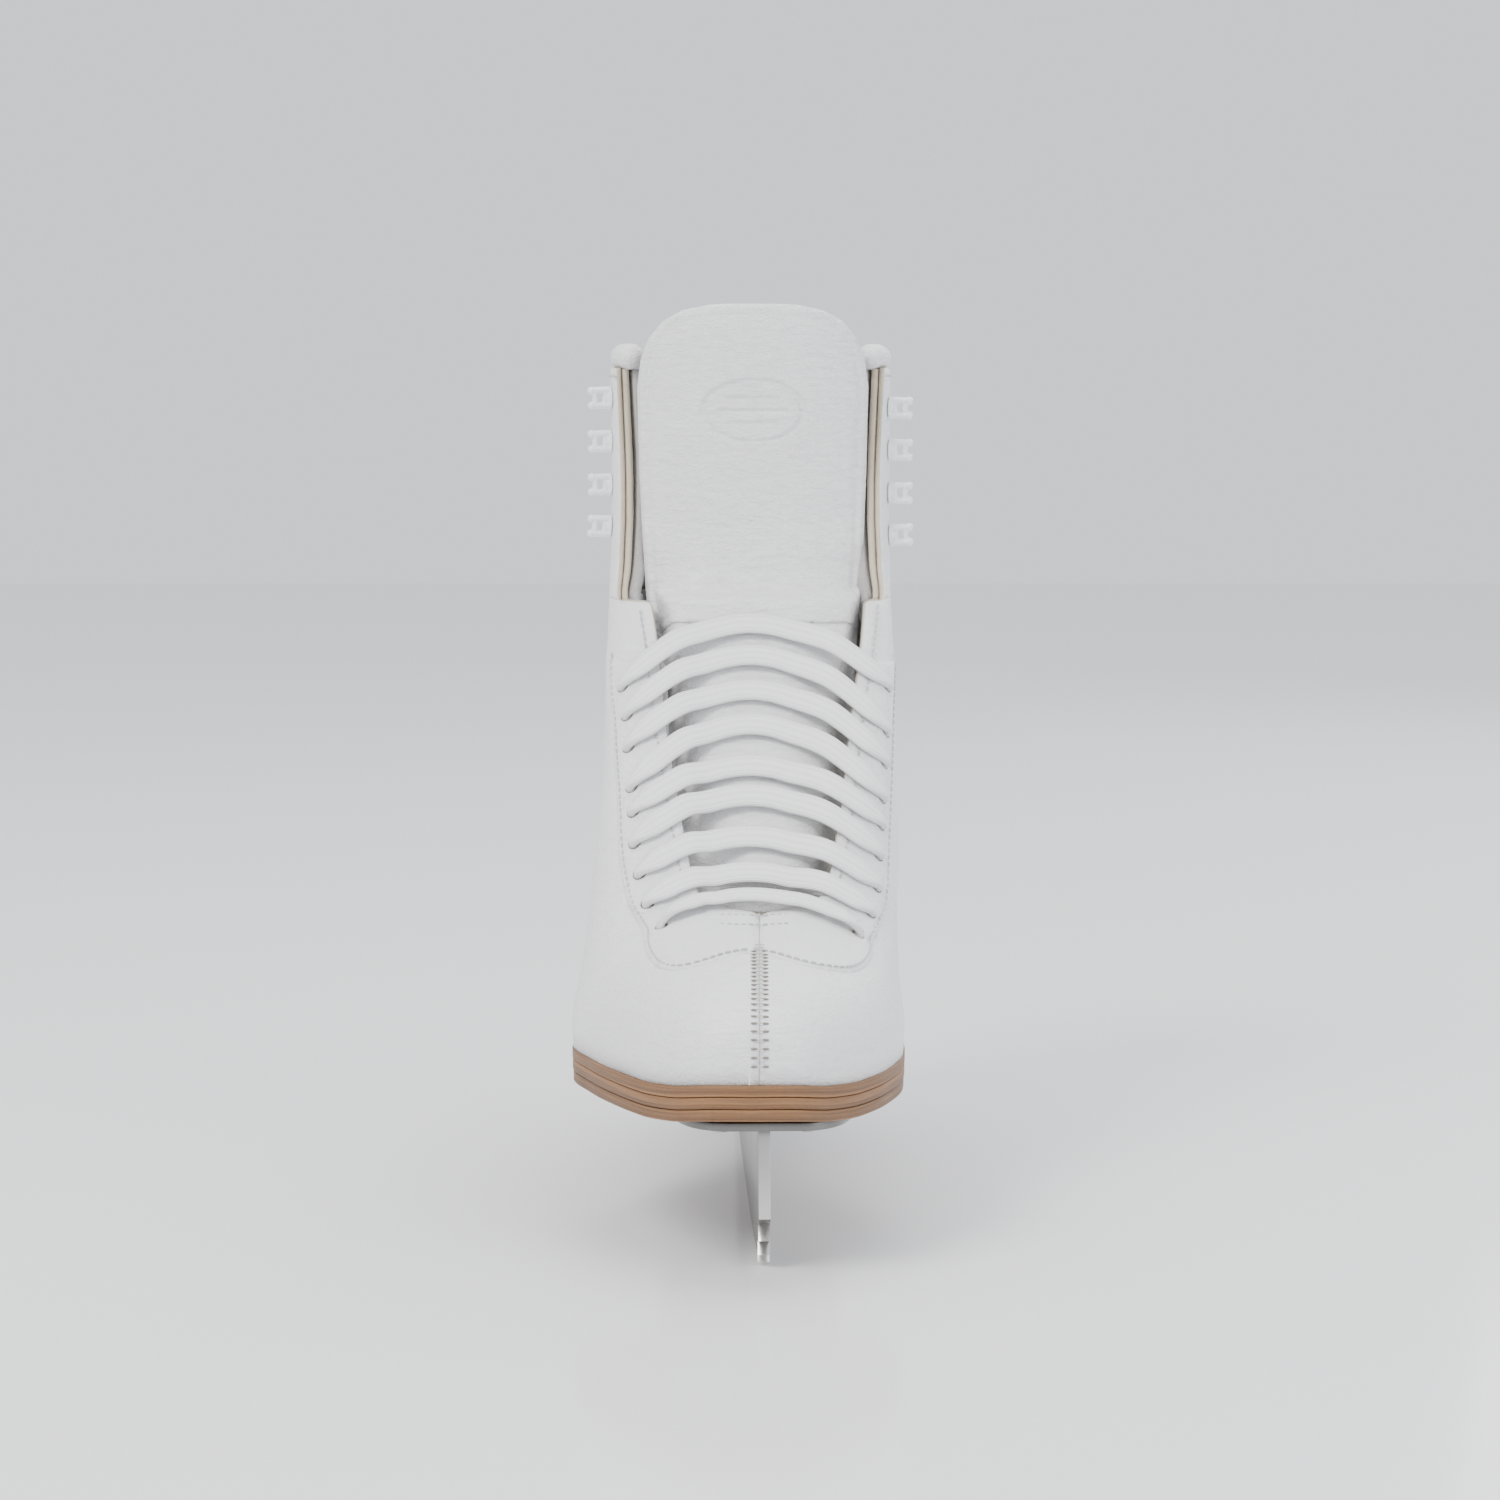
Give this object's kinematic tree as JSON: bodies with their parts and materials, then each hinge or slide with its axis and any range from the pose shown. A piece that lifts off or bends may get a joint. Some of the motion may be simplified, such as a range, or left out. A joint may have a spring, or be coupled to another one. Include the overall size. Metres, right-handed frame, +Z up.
{
  "type": "figure skate",
  "caption": "Laced white leather figure skate boot for the right foot, with padded tongue, lace hooks, stacked heel and a toothed steel blade.",
  "frame": {"origin": "centre of the bounding box in plan, at the blade's running edge", "axes": "+Z up; the toe points to -Y; the wearer's outer side is at -X and the inner side at +X"},
  "size_m": [0.1146, 0.2906, 0.298],
  "materials": {
    "white_leather": "fine-grained, softly creased, satin",
    "facing_leather": "white face with a raw beige cut edge",
    "foam": "open foam padding, seen only as a beige line at the flaps' edges",
    "felt": "soft grey brushed lining",
    "stiffener": "stiff board, hidden between the layers",
    "stacked_leather": "stacked brown leather board, polished edge with fine stripes",
    "blade_steel": "ground sides, polished front",
    "plate_steel": "polished plate",
    "screw_steel": "domed screw heads",
    "hidden_steel": "plain spring steel, hidden in the sole",
    "white_enamel": "glossy white enamel on stamped metal",
    "lace_fabric": "flat woven white cotton",
    "plastic_tip": "clear white tip"
  },
  "bodies": {
    "boot": {"quarter_lateral": "white_leather", "facing_lateral": "facing_leather", "ankle_padding_lateral": "foam", "lining_lateral": "felt", "aglet_lateral": "plastic_tip", "hook_lateral_4": "white_enamel", "quarter_medial": "white_leather", "facing_medial": "facing_leather", "ankle_padding_medial": "foam", "lining_medial": "felt", "aglet_medial": "plastic_tip", "hook_medial_4": "white_enamel", "toe_puff": "stiffener", "heel_counter": "stiffener", "insole_board": "stiffener", "backstay": "white_leather", "tongue_lower": "white_leather", "collar_back": "white_leather", "tongue_lower_felt": "felt", "footbed": "felt", "shank": "hidden_steel", "blade": "blade_steel", "sole_plate": "plate_steel", "heel_plate": "plate_steel", "sole_screw_1": "screw_steel", "sole_screw_2": "screw_steel", "sole_screw_3": "screw_steel", "sole_screw_4": "screw_steel", "sole_screw_5": "screw_steel", "sole_screw_6": "screw_steel", "heel_screw_1": "screw_steel", "heel_screw_2": "screw_steel", "heel_screw_3": "screw_steel", "heel_screw_4": "screw_steel", "outsole": "stacked_leather", "midsole": "stacked_leather", "welt": "stacked_leather", "heel_lift_1": "stacked_leather", "heel_lift_2": "stacked_leather", "heel_lift_3": "stacked_leather", "heel_lift_4": "stacked_leather", "lace": "lace_fabric"},
    "tongue": {"tongue_upper": "white_leather", "tongue_upper_felt": "felt"},
    "lateral_flap": {"flap_lateral": "white_leather", "flap_padding_lateral": "foam", "flap_lining_lateral": "felt", "collar_flap_lateral": "white_leather", "hook_lateral_1": "white_enamel", "hook_lateral_2": "white_enamel", "hook_lateral_3": "white_enamel"},
    "medial_flap": {"flap_medial": "white_leather", "flap_padding_medial": "foam", "flap_lining_medial": "felt", "collar_flap_medial": "white_leather", "hook_medial_1": "white_enamel", "hook_medial_2": "white_enamel", "hook_medial_3": "white_enamel"}
  },
  "joints": [
    {"name": "tongue_bend", "type": "hinge", "parent": "boot", "child": "tongue", "pos_m": [0.00033, 0.01825, 0.2], "axis": [1, 0, 0], "range_deg": [-4, 35]},
    {"name": "lateral_flap_bend", "type": "hinge", "parent": "boot", "child": "lateral_flap", "pos_m": [-0.04807, 0.05125, 0.22875], "axis": [0, -0.5573, -0.8303], "range_deg": [0, 22]},
    {"name": "medial_flap_bend", "type": "hinge", "parent": "boot", "child": "medial_flap", "pos_m": [0.04873, 0.05125, 0.22575], "axis": [0, 0.5573, 0.8303], "range_deg": [0, 22]}
  ]
}
